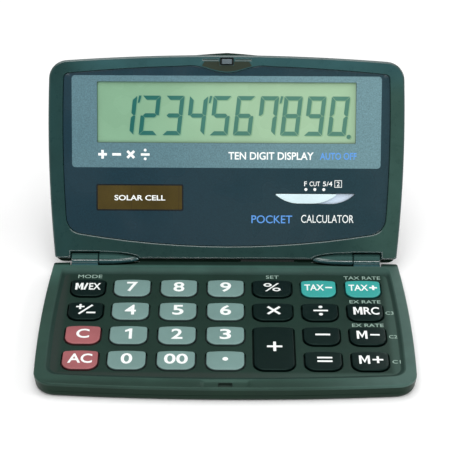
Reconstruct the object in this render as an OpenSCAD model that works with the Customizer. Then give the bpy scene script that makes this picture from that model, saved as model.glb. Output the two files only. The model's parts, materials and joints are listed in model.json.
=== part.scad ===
// Folding pocket calculator: a keyboard half and a display half on two small hinges.
//
// Both halves are drawn in one leaf frame: X across, Y away from the hinge axis, Z out of the
// inner face, with Z = 0 on the plane where the halves meet when the calculator is shut. The
// keyboard half is mirrored into place, and the display half is turned up by its opening angle.
// Row frame: origin at the middle of the underside, +Y towards the hinge, +Z up.

/* [Case] */
// Width across the widest point of both halves
case_width = 106; // [104:0.5:110]
// Reach from the hinge axis to the middle of the front edge
case_depth = 61; // [61:0.25:64]
// Thickness of the keyboard half
base_thickness = 5; // [5:0.1:6]
// Thickness of the display half
lid_thickness = 4.3; // [4.3:0.1:5]
// Radius of the front corners
front_corner = 5.5; // [4:0.25:6]
// Radius of the long bow of the sides
side_bow = 412; // [350:10:600]
// Radius of the long bow of the front edge
front_bow = 658; // [500:10:900]
// Distance from the hinge axis to the widest point
widest_at = 38; // [34:1:42]
// Wall thickness at the sides
wall = 1.3; // [1.1:0.05:1.4]
// Opening angle of the display half as modelled, 0 when shut
open_angle = 116; // [100:1:150]

/* [Keys] */
// Centres of the key columns across the case
column_x = [-40.3, -27.4, -13.7, 0, 13.6, 27.2, 40.2];
// Key width in each column
column_w = [9.9, 10.6, 10.6, 10.6, 11.3, 10.2, 10.2];
// Distance from the hinge axis to the first row of keys
first_row = 14.85; // [14.7:0.05:15.2]
// Distance between rows
row_pitch = 11.35; // [11.1:0.05:11.4]
// Length of a key from front to rear
key_length = 8; // [7.6:0.1:8.6]
// Gap between a key and its opening
key_gap = 0.35; // [0.25:0.05:0.45]
// How far a key travels
key_travel = 0.5; // [0.4:0.05:0.6]
// How far a key stands above the meeting plane
key_rise = 0.1; // [0:0.05:0.2]

/* [Display half] */
// Half-width of the printed panel
panel_half_w = 48.6; // [48:0.1:49]
// Distance from the hinge axis to the near edge of the panel
panel_near = 3.95; // [3.8:0.05:4.2]
// Distance from the hinge axis to the far edge of the panel
panel_far = 57.85; // [57.5:0.05:58]
// Thickness of the printed panel
panel_thickness = 0.8; // [0.6:0.05:0.8]
// How deep the frame dips into the panel at the catch
dip_depth = 2.15; // [1.5:0.05:2.3]
// Half-width of that dip
dip_half_w = 10.6; // [8:0.2:12]
// Travel of the decimal selector from its first to its last stop
selector_travel = 5.34; // [4:0.02:5.34]
// Diameter of the button cell
battery_d = 20; // [16:0.5:20]
// Thickness of the button cell
battery_h = 1.6; // [1.2:0.1:1.6]

/* [Hinge] */
// Diameter of the hinge barrels
barrel_d = 3.4; // [3:0.1:3.6]
// Diameter of the hinge pins
pin_d = 1.2; // [1:0.1:1.4]
// Inner end of each display-half barrel
barrel_inner = 26.2; // [26.2:0.1:27]
// Where each display-half barrel meets the keyboard-half barrel
barrel_split = 38.2; // [37.5:0.1:38.5]
// Outer end of each keyboard-half barrel
barrel_outer = 46.2; // [45.5:0.1:46.4]

/* [Hidden] */
$fn = 40;
straight = 20000;          // bow radius of an edge that is straight
eps = 0.05;

// Keys: name, column, row, rows spanned, colour
KEYS = [
    ["key_exchange_mode", 0, 0, 1, "dark"], ["key_sign_change", 0, 1, 1, "dark"],
    ["key_clear", 0, 2, 1, "red"], ["key_all_clear", 0, 3, 1, "red"],
    ["key_7", 1, 0, 1, "grey"], ["key_4", 1, 1, 1, "grey"],
    ["key_1", 1, 2, 1, "grey"], ["key_0", 1, 3, 1, "grey"],
    ["key_8", 2, 0, 1, "grey"], ["key_5", 2, 1, 1, "grey"],
    ["key_2", 2, 2, 1, "grey"], ["key_00", 2, 3, 1, "grey"],
    ["key_9", 3, 0, 1, "grey"], ["key_6", 3, 1, 1, "grey"], ["key_3", 3, 2, 1, "grey"],
    ["key_decimal_point", 3, 3, 1, "grey"],
    ["key_percent", 4, 0, 1, "dark"], ["key_multiply", 4, 1, 1, "dark"], ["key_add", 4, 2, 2, "dark"],
    ["key_tax_minus", 5, 0, 1, "teal"], ["key_divide", 5, 1, 1, "dark"],
    ["key_subtract", 5, 2, 1, "dark"], ["key_equals", 5, 3, 1, "dark"],
    ["key_tax_plus", 6, 0, 1, "teal"], ["key_memory_recall", 6, 1, 1, "dark"],
    ["key_memory_subtract", 6, 2, 1, "dark"], ["key_memory_add", 6, 3, 1, "dark"]
];

// Levels in the keyboard half, measured from the meeting plane
hinge_y = case_depth / 2;
parting = 0.1;                              // each half stops this far short of the meeting plane
rim_top = -parting;
floor_top = rim_top - 0.35;                 // floor between the keys
plate_under = floor_top - 1;
flange_top = plate_under - 0.1;
flange_under = flange_top - 0.6;
base_under = -base_thickness;
case_split = base_under + 2;                // joint line between the two shells
tray_floor = base_under + 0.8;
board_under = tray_floor + 0.1;
board_top = board_under + 0.6;
mat_top = board_top + 0.4;
dome_ceiling = flange_under - 0.2;
nub_under = board_top + key_travel;         // the nub in each dome stops this far above the board
pad_thickness = 0.05;

// Levels in the display half
panel_top = -0.6;
panel_under = panel_top - panel_thickness;
frame_under = -2.2;
lid_under = -lid_thickness;
lid_floor = lid_under + 0.6;
lid_board_top = -3;
lid_board_under = -3.5;

// Reaches along the leaf
base_near = 0.9;                            // rear edge between the hinges
lid_near = 0.05;
spine_near = -1.25;                         // the back shell reaches round behind the hinge axis
relief = 1.6;                               // rear edge of the keyboard half beside the hinges
barrel_notch = 2.9;                         // reach of the notches round the hinge barrels
lid_notch = 2;
notch_gap = 0.3;                            // room past the ends of a barrel

// Inner outlines
key_floor_half_w = 49;
key_floor_near = 6.8;
key_floor_far = 55;
panel_near_bow = 262;
panel_far_bow = 471;
ledge_half_w = 45.2;
ledge_near = 6.5;
ledge_far = 55.6;
lcd_half_w = 41;
lcd_film_half_w = 40;
lcd_far = 53.6;
lcd_film_far = 53.5;
lcd_front_near = 31.5;
lcd_rear_near = 34.2;
lcd_film_near = 34.4;

mat_near = 8;
mat_far = 54;
dome_r = 2.9;
nub_r = 1.4;

base_screw_at = [[48.4, 5.4], [47.6, 55.9]];
lid_screw_at = [[46.95, 14], [46.95, 52.5]];
screw_r = 0.75;
screw_head_r = 1.4;
boss_r = 1.5;
screw_clearance = 0.03;
pin_clearance = 0.03;
nose_length = 11.5;                         // taper of the display half's barrels
pin_inner = barrel_inner + 3.3;             // inner end of each hinge pin
pin_outer = barrel_outer - 0.2;
web_reach = [0.3, 3];
web_height = [-1.9, -0.15];

catch_half_w = 1.5;
catch_reach = [58.5, 59.9];
catch_root = -1.6;
catch_top = 0.8;
catch_lip = 0.25;
catch_slot_width = [-catch_half_w - 0.4, catch_half_w + 0.4];
catch_slot_reach = [57.9, 60.2];
catch_slot_floor = -1.1;
scoop_at = 58.45;
scoop_depth = 0.4;
scoop_half_w = 7;
scoop_r = 4;

shank_end = -2;                             // the case screws stop at this height
lid_head_under = -1.85;                     // the display half's screw heads stand on this height
lid_head_top = -1.45;
lid_shank_end = -3.6;

// The display, from the front polariser down to the connector
film_top = -1.45;
front_glass_top = -1.6;
front_glass_under = -2.15;
rear_glass_top = -2.2;
rear_glass_under = -2.75;
reflector_under = -2.95;
connector_reach = [31.9, 33.8];
connector_half_w = 38;

chip_at = [-26, 27.6];
chip_cap_r = 10.4;                          // radius of the sphere that the resin blob is cut from
chip_height = 0.8;

solar_width = [-40, -11.7];
solar_reach = [13.4, 23.6];
solar_height = [-2.55, -1.45];
solar_pad_x = [-39, -14.5];
solar_pad_reach = [15, 22];
solar_pad_width = 2;

battery_at = [-0.95, 19.5];
battery_under = -3.55;
battery_step = 0.2;                         // height and inset of the cell's smaller pole
contact_width = [-4, 2];
contact_far = 33;
spring_width = [-3.5, 1.5];
spring_reach = [17, 30.9];
spring_top = -1.8;
spring_thickness = 0.2;
cable_from = 4.5;
cable_to = 20.5;
cable_thickness = 0.15;
cable_slot = [cable_from - 0.5, cable_to + 0.5];
cable_slot_top = -0.6;
cable_lip = [4, 21.5];                      // the rim reaches further back over the ribbon
cable_lip_near = 0.65;

selector_left = 14.9;
selector_right = 33;
selector_top = 19.6;
selector_drop = 2.8;
selector_end_r = 11;                        // radius of the curved ends of the thumb piece
selector_gap = 0.1;
shutter_width = [9.4, 39];
shutter_reach = [15.6, 20.9];
shutter_under = -1.9;
wiper_width = [18, 27];
wiper_reach = [17.2, 19.2];
wiper_thickness = 0.15;

// Curves --------------------------------------------------------------------------------------

function arc(c, r, a, b, n) = [for (i = [0:n]) let (t = a + (b - a) * i / n) c + r * [cos(t), sin(t)]];

function heading(from, to) = atan2(to.y - from.y, to.x - from.x);

// Where circles of radius rp about p and rq about q meet, on the left (1) or right (-1) of p to q
function meeting(p, rp, q, rq, side) =
    let (d = norm(q - p), u = (q - p) / d, a = (rp * rp - rq * rq + d * d) / (2 * d))
    p + a * u + side * sqrt(rp * rp - a * a) * [-u.y, u.x];

// A closed outline, symmetrical about X = 0, of long bows joined by rounded corners
function leaf_outline(half_w, near, far, near_bow, far_bow, near_corner, far_corner) =
    let (
        s = [half_w - side_bow, widest_at],
        n = [0, near + near_bow],
        f = [0, far - far_bow],
        cn = meeting(s, side_bow - near_corner, n, near_bow - near_corner, -1),
        cf = meeting(s, side_bow - far_corner, f, far_bow - far_corner, 1),
        right = concat(
            arc(n, near_bow, -90, heading(n, cn), 4),
            arc(cn, near_corner, heading(n, cn), heading(s, cn), 4),
            arc(s, side_bow, heading(s, cn), heading(s, cf), 8),
            arc(cf, far_corner, heading(s, cf), heading(f, cf), 6),
            arc(f, far_bow, heading(f, cf), 90, 5)
        )
    )
    concat(right, [for (i = [len(right) - 2:-1:1]) [-right[i].x, right[i].y]]);

function case_outline(inset, near) =
    leaf_outline(case_width / 2 - inset, near + inset, case_depth - inset, straight,
                 front_bow, 1, front_corner - inset);

// A key seen from above: small corners at the rear, large ones at the front, a slight rear arch
function key_outline(w, l, grow) =
    let (a = w / 2 + grow, b = l / 2 + grow, r = 1 + grow, q = 3 + grow, arch = 0.25)
    concat(
        arc([a - q, b - q], q, 0, 90, 5), arc([q - a, b - q], q, 90, 180, 5),
        arc([r - a, r - b], r, 180, 270, 3),
        [for (u = [-0.5:0.5:0.5]) [u * (a - r), -b - arch * (1 - u * u)]],
        arc([a - r, r - b], r, 270, 360, 3)
    );

// The thumb piece of the selector: straight far edge, both near corners swept up in arcs
function selector_outline(from, to, grow) =
    let (
        top = selector_top + grow, low = selector_top - selector_drop - grow,
        r = selector_end_r + grow, reach = sqrt(r * r - pow(r - (top - low), 2))
    )
    concat(
        arc([to + grow - reach, low + r], r, -90, -90 + asin(reach / r), 8),
        arc([from - grow + reach, low + r], r, -90 - asin(reach / r), -90, 8)
    );

// The line where the frame dips into the panel, with the far side closed off
function dip_outline(grow) =
    concat(
        [for (x = [-dip_half_w:dip_half_w / 12:dip_half_w + eps])
            [x, panel_far - grow - dip_depth * (1 + cos(180 * x / dip_half_w)) / 2]],
        [[dip_half_w, case_depth], [-dip_half_w, case_depth]]
    );

// A strip of constant thickness along a path, as a closed outline
function strip_outline(path, thickness) =
    let (
        last = len(path) - 1,
        normal = [for (i = [0:last])
            let (d = path[min(i + 1, last)] - path[max(i - 1, 0)]) [-d.y, d.x] / norm(d) * thickness / 2]
    )
    concat([for (i = [0:last]) path[i] + normal[i]], [for (i = [last:-1:0]) path[i] - normal[i]]);

// From a place in the display half, (reach, height), to the row's Y and Z about the hinge axis
function lid_to_axis(p) =
    let (a = 180 - open_angle) [p.x * cos(a) - p.y * sin(a), p.x * sin(a) + p.y * cos(a)];

// Placement and shared solids -----------------------------------------------------------------

module on_axis() translate([0, hinge_y, base_thickness]) children();

module in_base() on_axis() mirror([0, 1, 0]) children();

module in_lid() on_axis() rotate([180 - open_angle, 0, 0]) children();

module both_sides() {
    children();
    mirror([1, 0, 0]) children();
}

module slab(outline, low, high) translate([0, 0, low]) linear_extrude(high - low) polygon(outline);

module block(x, y, z) translate([x[0], y[0], z[0]]) cube([x[1] - x[0], y[1] - y[0], z[1] - z[0]]);

module disc(at, r, low, high) translate([at.x, at.y, low]) cylinder(r = r, h = high - low);

module along_x(from, to) translate([from, 0, 0]) rotate([90, 0, 90]) linear_extrude(to - from) children();

// A shell's outside, with its outer edge taken in by a chamfer
module chamfered_slab(near, under, shoulder, top, chamfer) {
    hull() {
        slab(case_outline(chamfer, near), under, under + eps);
        slab(case_outline(0, near), shoulder - eps, shoulder);
    }
    slab(case_outline(0, near), shoulder - eps, top);
}

// The profile of a barrel from one end to the other; a nose of some length tapers as half an ellipse
function barrel_profile(from, to, nose) =
    let (r = barrel_d / 2, steps = nose > 0 ? 8 : 0)
    concat([for (i = [1:1:steps]) let (a = 90 * i / steps) [r * sin(a), from + nose * (1 - cos(a))]],
           nose > 0 ? [] : [[r, from]], [[r, to]]);

// A hinge barrel and the web that joins it to its half
module barrel(from, to, nose) {
    rotate([90, 0, 90]) rotate_extrude($fn = 48)
        polygon(concat([[0, from]], barrel_profile(from, to, nose), [[0, to]]));
    block([from + nose / 2, to], web_reach, web_height);
}

module key_places(choose = KEYS)
    for (k = choose)
        translate([column_x[k[1]], first_row + row_pitch * (k[2] + (k[3] - 1) / 2), 0]) children();

function key_span(k) = key_length + row_pitch * (k[3] - 1);

// Keyboard half -------------------------------------------------------------------------------

// What the rear edge of the keyboard half leaves free for the barrels and the display half
module hinge_relief() both_sides() {
    block([barrel_inner - notch_gap, case_width], [0, relief], [base_under - 1, 1]);
    block([barrel_inner - notch_gap, barrel_outer + notch_gap], [0, barrel_notch], [base_under - 1, 1]);
}

module base_upper_case() color("#3b4c46") in_base() difference() {
    union() {
        difference() {
            slab(case_outline(0, base_near), case_split + eps, rim_top);
            slab(leaf_outline(key_floor_half_w, key_floor_near, key_floor_far, straight, front_bow, 2, 3),
                 floor_top, 1);
            slab(case_outline(wall, barrel_notch), case_split - 1, plate_under);
            hinge_relief();
            for (k = KEYS)
                key_places([k])
                    slab(key_outline(column_w[k[1]], key_span(k), key_gap), plate_under - 1, 1);
            // Scoop and slot that take the catch
            translate([0, scoop_at, rim_top - scoop_depth + scoop_r]) rotate([0, 90, 0])
                cylinder(r = scoop_r, h = 2 * scoop_half_w, center = true);
            block(catch_slot_width, catch_slot_reach, [catch_slot_floor, 1]);
            block(cable_slot, [0, barrel_notch + wall + 0.1], [case_split - 1, cable_slot_top]);
        }
        both_sides() for (p = base_screw_at) disc(p, boss_r, case_split + eps, plate_under + eps);
        block(cable_lip, [cable_lip_near, base_near + eps], [cable_slot_top, rim_top]);
        both_sides() barrel(barrel_split, barrel_outer, 0);
    }
    both_sides() {
        for (p = base_screw_at) disc(p, screw_r + screw_clearance, case_split - 1, shank_end + 0.1);
        along_x(barrel_split - 1, barrel_outer + 1) circle(r = pin_d / 2 + pin_clearance);
    }
}

module base_lower_case() color("#2a3531") in_base() difference() {
    union() {
        difference() {
            chamfered_slab(base_near, base_under, base_under + 1.2, case_split, 1.1);
            slab(case_outline(wall, barrel_notch), tray_floor, 1);
            hinge_relief();
        }
        both_sides() for (p = base_screw_at) disc(p, boss_r + 0.2, tray_floor - eps, case_split);
    }
    both_sides() for (p = base_screw_at) {
        disc(p, screw_r + screw_clearance, base_under - 1, 1);
        disc(p, screw_head_r + 0.1, base_under - 1, base_under + 0.6);
    }
}

// One dome under each key, with a nub that meets the contact pad on the board
module rubber_key_mat() color("#8e9490") in_base() {
    difference() {
        union() {
            slab(leaf_outline(46.4, mat_near, mat_far, straight, front_bow, 1, 1.5), board_top, mat_top);
            key_places() disc([0, 0], dome_r, mat_top - eps, flange_under);
        }
        key_places() disc([0, 0], dome_r - 0.7, board_top - 1, dome_ceiling);
    }
    key_places() disc([0, 0], nub_r, nub_under, dome_ceiling + eps);
}

module keyboard_contact_pads() color("#1d1d1f") in_base()
    key_places() disc([0, 0], nub_r + 0.4, board_top, board_top + pad_thickness);

module keyboard_circuit_board() color("#2e5d45") in_base()
    slab(leaf_outline(46.6, 4.5, 54.1, straight, front_bow, 1, 1.5), board_under, board_top);

module base_screws() color("silver") in_base() both_sides() for (p = base_screw_at) {
    disc(p, screw_head_r, base_under + 0.05, base_under + 0.6);
    disc(p, screw_r, base_under + 0.5, shank_end);
}

module hinge_pin() in_base() along_x(pin_inner, pin_outer) circle(r = pin_d / 2);

module hinge_pin_right() color("silver") hinge_pin();

module hinge_pin_left() color("silver") mirror([1, 0, 0]) hinge_pin();

// Flexible ribbon from the keyboard board, round the hinge axis, to the display board
module ribbon_cable() color("#b5793a") on_axis() along_x(cable_from, cable_to)
    polygon(strip_outline([
        [-7, board_top + 0.08], [-5.6, board_top + 0.08], [-3.2, -1.95], [-2.2, -1.5], [-0.63, -1.15],
        [0.35, -0.75], lid_to_axis([0.57, -1]), lid_to_axis([1.8, -1.25]), lid_to_axis([2.9, -1.8]),
        lid_to_axis([4.9, lid_board_top + 0.2]), lid_to_axis([6.2, lid_board_top + 0.08]),
        lid_to_axis([8.6, lid_board_top + 0.08])
    ], cable_thickness));

// Keys ----------------------------------------------------------------------------------------

function key_colour(name) =
    name == "red" ? "#a04f52" : name == "teal" ? "#3fa39b" : name == "grey" ? "#7e948c" : "#20292b";

module key(k) color(key_colour(k[4])) in_base() key_places([k]) {
    slab(key_outline(column_w[k[1]], key_span(k), 0), flange_top - eps, key_rise);
    slab(key_outline(column_w[k[1]], key_span(k), 0.5), flange_under, flange_top);
}

// Display half --------------------------------------------------------------------------------

module panel_shape(grow) difference() {
    polygon(leaf_outline(panel_half_w + grow, panel_near - grow, panel_far + grow,
                         panel_near_bow, panel_far_bow, 5, 1.5));
    polygon(dip_outline(-grow));
}

module selector_slot(low, high)
    slab(selector_outline(selector_left, selector_right + selector_travel, selector_gap), low, high);

module lid_front_frame() color("#35494a") in_lid() difference() {
    union() {
        difference() {
            slab(case_outline(0, lid_near), frame_under, -parting);
            translate([0, 0, panel_under - 0.02]) linear_extrude(3) panel_shape(0.1);
            slab(leaf_outline(ledge_half_w, ledge_near, ledge_far, panel_near_bow, panel_far_bow, 4, 1.5),
                 frame_under - 1, 1);
            both_sides()
                block([barrel_split - 0.25, barrel_outer + notch_gap], [0, lid_notch], [-lid_thickness, 1]);
            block(catch_slot_width, [catch_reach[0] - 0.3, catch_slot_reach[1]], [catch_root, 1]);
            block(cable_slot, [0, ledge_near + 0.5], [frame_under - 1, cable_slot_top]);
        }
        both_sides() barrel(barrel_inner, barrel_split - 0.15, nose_length);
    }
    both_sides() {
        for (p = lid_screw_at) {
            disc(p, screw_r + screw_clearance, frame_under - 1, 1);
            disc(p, screw_head_r + 0.05, lid_head_under, 1);
        }
        along_x(pin_inner - 0.3, barrel_split + 1) circle(r = pin_d / 2 + 1.5 * pin_clearance);
    }
}

// The back shell reaches round behind the hinge axis, and stands a little proud at the middle of
// the far edge for a fingertip
module lid_back_case() color("#2f3f3d") in_lid() difference() {
    union() {
        difference() {
            union() {
                chamfered_slab(spine_near, lid_under, lid_under + 1.3, frame_under - eps, 1.2);
                slab(concat([[-7, case_depth - 1], [7, case_depth - 1]],
                            [for (x = [7:-1:-7]) [x, case_depth + 0.22 * (1 + cos(180 * x / 7))
                                                  - x * x / (2 * front_bow)]]),
                     lid_under + 0.9, frame_under - eps);
            }
            slab(case_outline(wall, lid_near), lid_floor, 1);
        }
        both_sides() for (p = lid_screw_at) disc(p, boss_r, lid_floor - eps, frame_under - eps);
    }
    both_sides() for (p = lid_screw_at) disc(p, screw_r + screw_clearance, lid_under + 0.5, 1);
}

module display_window() color("#2b4450") in_lid() difference() {
    translate([0, 0, panel_under]) linear_extrude(panel_thickness) panel_shape(0);
    selector_slot(panel_under - 1, 1);
}

module lcd_front_polariser() color("#93a58c") in_lid()
    block([-lcd_film_half_w, lcd_film_half_w], [lcd_film_near, lcd_film_far],
          [front_glass_top, film_top]);

module lcd_front_glass() color("#a9bfa6") in_lid()
    block([-lcd_half_w, lcd_half_w], [lcd_front_near, lcd_far], [front_glass_under, front_glass_top]);

module lcd_rear_glass() color("#a9bfa6") in_lid()
    block([-lcd_half_w, lcd_half_w], [lcd_rear_near, lcd_far], [rear_glass_under, rear_glass_top]);

module lcd_reflector() color("#8fb08a") in_lid()
    block([-lcd_film_half_w, lcd_film_half_w], [lcd_film_near, lcd_film_far],
          [reflector_under, rear_glass_under]);

module zebra_connector() color("#3a3a40") in_lid()
    block([-connector_half_w, connector_half_w], connector_reach, [lid_board_top, front_glass_under]);

module display_circuit_board() color("#2e5d45") in_lid() difference() {
    slab(leaf_outline(44.5, ledge_near, 54.2, panel_near_bow, panel_far_bow, 4, 1.5),
         lid_board_under, lid_board_top);
    disc(battery_at, battery_d / 2 + 0.5, lid_board_under - 1, 0);
}

// A blob of resin over the bare chip
module calculator_chip() color("#15171a") in_lid() translate([chip_at.x, chip_at.y, lid_board_top])
    let (drop = chip_cap_r - chip_height)
    rotate_extrude() polygon(concat([[0, 0]], arc([0, -drop], chip_cap_r, asin(drop / chip_cap_r), 90, 6)));

module solar_cell() color("#5b3a2a") in_lid()
    block(solar_width, solar_reach, solar_height);

module solar_contact_pads() color("#2a2a2e") in_lid()
    for (x = solar_pad_x) block([x, x + solar_pad_width], solar_pad_reach, [lid_board_top, solar_height[0]]);

module battery_cell() color("silver") in_lid() {
    disc(battery_at, battery_d / 2, battery_under, battery_under + battery_h - battery_step);
    disc(battery_at, battery_d / 2 - 6 * battery_step, battery_under + battery_h - battery_step - eps,
         battery_under + battery_h);
}

module battery_contact_positive() color("#c9b36a") in_lid() {
    block(contact_width, [battery_at.y - 7.5, contact_far], [lid_floor, battery_under]);
    block(contact_width, [contact_far - 2.4, contact_far], [lid_floor, lid_board_under]);
}

module battery_contact_negative() color("#c9b36a") in_lid() {
    block(spring_width, spring_reach, [battery_under + battery_h, spring_top]);
    block(spring_width, [spring_reach[1] - spring_thickness, spring_reach[1]], [lid_board_top, spring_top]);
}

// A post with a lip that snaps under the rim of the keyboard half
module latch_hook() color("#6f8187") in_lid() {
    block([-catch_half_w, catch_half_w], catch_reach, [catch_root, catch_top]);
    block([-catch_half_w, catch_half_w], [catch_reach[0] - catch_lip, catch_reach[1]],
          [catch_top / 2, catch_top]);
}

module lid_screws() color("silver") in_lid() both_sides() for (p = lid_screw_at) {
    disc(p, screw_head_r, lid_head_under, lid_head_top);
    disc(p, screw_r, lid_shank_end, lid_head_under + eps);
}

// Thumb piece and the shutter under it that keeps the slot closed at every stop
module decimal_selector_knob() color("#e2f0f2") in_lid() {
    slab(selector_outline(selector_left, selector_right, -0.05), panel_under - 0.1, panel_top + 0.2);
    block(shutter_width, shutter_reach, [shutter_under, panel_under - 0.05]);
}

module selector_wiper() color("#c9b36a") in_lid() {
    block(wiper_width, wiper_reach, [shutter_under - wiper_thickness, shutter_under]);
    for (x = [wiper_width[0], wiper_width[1] - 0.2])
        block([x, x + 0.2], wiper_reach, [lid_board_top + eps, shutter_under - wiper_thickness + eps]);
}

// Drawing -------------------------------------------------------------------------------------

base_upper_case();
base_lower_case();
rubber_key_mat();
keyboard_contact_pads();
keyboard_circuit_board();
base_screws();
hinge_pin_left();
hinge_pin_right();
ribbon_cable();
lid_front_frame();
lid_back_case();
display_window();
lcd_front_polariser();
lcd_front_glass();
lcd_rear_glass();
lcd_reflector();
zebra_connector();
display_circuit_board();
calculator_chip();
solar_cell();
solar_contact_pads();
battery_cell();
battery_contact_positive();
battery_contact_negative();
latch_hook();
lid_screws();
decimal_selector_knob();
selector_wiper();
for (k = KEYS) key(k);
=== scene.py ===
"""The looks of a folding pocket calculator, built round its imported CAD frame.

Both halves are drawn in one leaf frame, in millimetres: x across, t away from the hinge axis and
n out of the inner face, with n = 0 where the halves meet when shut. BASE and LID place a leaf.
"""

import json
import math

import bmesh
import bpy
from mathutils import Matrix, Quaternion, Vector
from mathutils.geometry import delaunay_2d_cdt


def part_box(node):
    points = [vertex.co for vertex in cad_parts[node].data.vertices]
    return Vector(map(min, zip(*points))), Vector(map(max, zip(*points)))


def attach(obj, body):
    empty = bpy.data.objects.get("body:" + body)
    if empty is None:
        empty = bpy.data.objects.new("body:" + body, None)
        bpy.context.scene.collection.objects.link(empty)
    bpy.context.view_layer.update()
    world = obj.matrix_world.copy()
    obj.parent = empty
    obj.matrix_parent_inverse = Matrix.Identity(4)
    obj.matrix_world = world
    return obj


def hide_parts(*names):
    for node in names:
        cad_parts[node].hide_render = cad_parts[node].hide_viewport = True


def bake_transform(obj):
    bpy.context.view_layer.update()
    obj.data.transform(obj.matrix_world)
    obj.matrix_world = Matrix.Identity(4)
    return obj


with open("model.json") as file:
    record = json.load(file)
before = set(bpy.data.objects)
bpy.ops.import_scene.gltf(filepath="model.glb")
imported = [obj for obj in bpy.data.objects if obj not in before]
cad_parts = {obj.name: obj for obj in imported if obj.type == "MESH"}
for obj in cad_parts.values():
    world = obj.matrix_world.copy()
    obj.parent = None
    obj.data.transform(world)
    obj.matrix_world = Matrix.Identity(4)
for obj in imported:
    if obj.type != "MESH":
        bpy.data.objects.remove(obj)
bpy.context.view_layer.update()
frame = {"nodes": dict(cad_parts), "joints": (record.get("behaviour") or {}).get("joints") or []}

# === Leaf frames and driving dimensions ===

MM = 0.001
HINGE_JOINT = next(j for j in frame["joints"] if j["name"] == "lid_hinge")
HINGE = Vector(HINGE_JOINT["pos_m"])
OPEN_ANGLE = math.radians(-HINGE_JOINT["range_deg"][0])
BASE = Matrix.Translation(HINGE) @ Matrix.Diagonal((MM, -MM, MM, 1))
LID = (Matrix.Translation(HINGE) @ Matrix.Rotation(math.pi - OPEN_ANGLE, 4, "X")
       @ Matrix.Diagonal((MM, MM, MM, 1)))


def leaf_box(node, place):
    """The box of a CAD node's points in a leaf frame, as two points (x, t, n)."""
    points = [place.inverted() @ v.co for v in frame["nodes"][node].data.vertices]
    low = Vector(min(p[i] for p in points) for i in range(3))
    high = Vector(max(p[i] for p in points) for i in range(3))
    return low, high


CASE_LOW, CASE_HIGH = leaf_box("base_lower_case", BASE)
HALF_W, DEPTH, BASE_UNDER = CASE_HIGH.x, CASE_HIGH.y, CASE_LOW.z
KEY_TOP = leaf_box("key_5", BASE)[1].z
LID_UNDER = leaf_box("lid_back_case", LID)[0].z
PANEL_LOW, PANEL_HIGH = leaf_box("display_window", LID)

STRAIGHT = 20000            # bow radius of an edge that is straight
SIDE_BOW = 412
FRONT_BOW = 658
WIDEST_AT = 38
FRONT_CORNER = 5.5
RIM_TOP = -0.1
BASE_NEAR = 0.9             # rear edge of the keyboard half between the hinges
LID_NEAR = 0.05
SPINE_NEAR = -1.25          # the back shell reaches round behind the hinge axis
RELIEF = 1.6                # rear edge of the keyboard half beside the hinges
BASE_NOTCH = 2.9            # notches round the barrels
LID_NOTCH = 2.0
CASE_SPLIT = BASE_UNDER + 2
SPLIT_GAP = 0.04
SCREW_SEAT = BASE_UNDER + 0.6
WALL = 1.3
FLOOR = -0.45               # floor between the keys
PLATE_UNDER = -1.45
FRAME_UNDER = -2.2
PANEL_TOP = PANEL_HIGH.z
PANEL_UNDER = PANEL_LOW.z
PANEL_HALF_W = 48.6
PANEL_NEAR = 3.95
PANEL_FAR = 57.85
PANEL_NEAR_BOW = 262
PANEL_FAR_BOW = 471
DIP_DEPTH = 2.15
DIP_HALF_W = 10.6
BARREL_R = 1.7
BARREL_INNER = 26.2
BARREL_SPLIT = 38.2
BARREL_OUTER = 46.2
NOTCH_END = BARREL_OUTER + 0.3
NOTCH_STEP = BARREL_SPLIT - 0.2     # where the notch passes from one half's barrel to the other's
NOSE = 11.5                 # taper of the display half's barrels
PIN_HOLE_R = 0.63
FLANGE = 0.5                # how far a key's flange stands out round its cap
KEY_GAP = 0.35
KEY_ARCH = 0.25             # how far the middle of a key's rear edge bulges
SHARP_ANGLE = 40            # edges sharper than this many degrees keep a hard shade
DRAPE_STEP = 0.6            # width of the strips of lettering that follows a crowned key
TURNED_SIDES = 40
TOP_Z = HINGE.z / MM + RIM_TOP
FLOOR_Z = HINGE.z / MM + FLOOR


# === Outlines, as lists of (x, t) going anticlockwise ===

def arc(c, r, a, b, n):
    """Points on an arc about c, from angle a to b in degrees, both ends included."""
    steps = [math.radians(a + (b - a) * i / n) for i in range(n + 1)]
    return [(c[0] + r * math.cos(s), c[1] + r * math.sin(s)) for s in steps]


def heading(a, b):
    return math.degrees(math.atan2(b[1] - a[1], b[0] - a[0]))


def meeting(p, rp, q, rq, side):
    """Where two circles meet, on the left (1) or the right (-1) of the line from p to q."""
    p, q = Vector(p), Vector(q)
    d = (q - p).length
    u = (q - p) / d
    a = (rp * rp - rq * rq + d * d) / (2 * d)
    return tuple(p + a * u + side * math.sqrt(rp * rp - a * a) * Vector((-u.y, u.x)))


def joined(*runs):
    """Runs of points as one, without a point that repeats the one before it."""
    out = []
    for p in (p for run in runs for p in run):
        if not out or math.dist(p, out[-1]) > 1e-3:
            out.append(p)
    return out


def mirrored(right):
    """A right half from (0, near) to (0, far), closed by its mirror image."""
    return right + [(-x, t) for x, t in reversed(right[1:-1])]


def leaf_half(half_w, near, far, near_bow, far_bow, near_corner, far_corner):
    """The right half of an outline of long bows joined by rounded corners."""
    s, n, f = (half_w - SIDE_BOW, WIDEST_AT), (0, near + near_bow), (0, far - far_bow)
    cn = meeting(s, SIDE_BOW - near_corner, n, near_bow - near_corner, -1)
    cf = meeting(s, SIDE_BOW - far_corner, f, far_bow - far_corner, 1)
    return joined(
        arc(n, near_bow, -90, heading(n, cn), 6),
        arc(cn, near_corner, heading(n, cn), heading(s, cn), 6),
        arc(s, SIDE_BOW, heading(s, cn), heading(s, cf), 12),
        arc(cf, far_corner, heading(s, cf), heading(f, cf), 10),
        arc(f, far_bow, heading(f, cf), 90, 10))


def leaf_outline(*sizes):
    return mirrored(leaf_half(*sizes))


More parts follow.
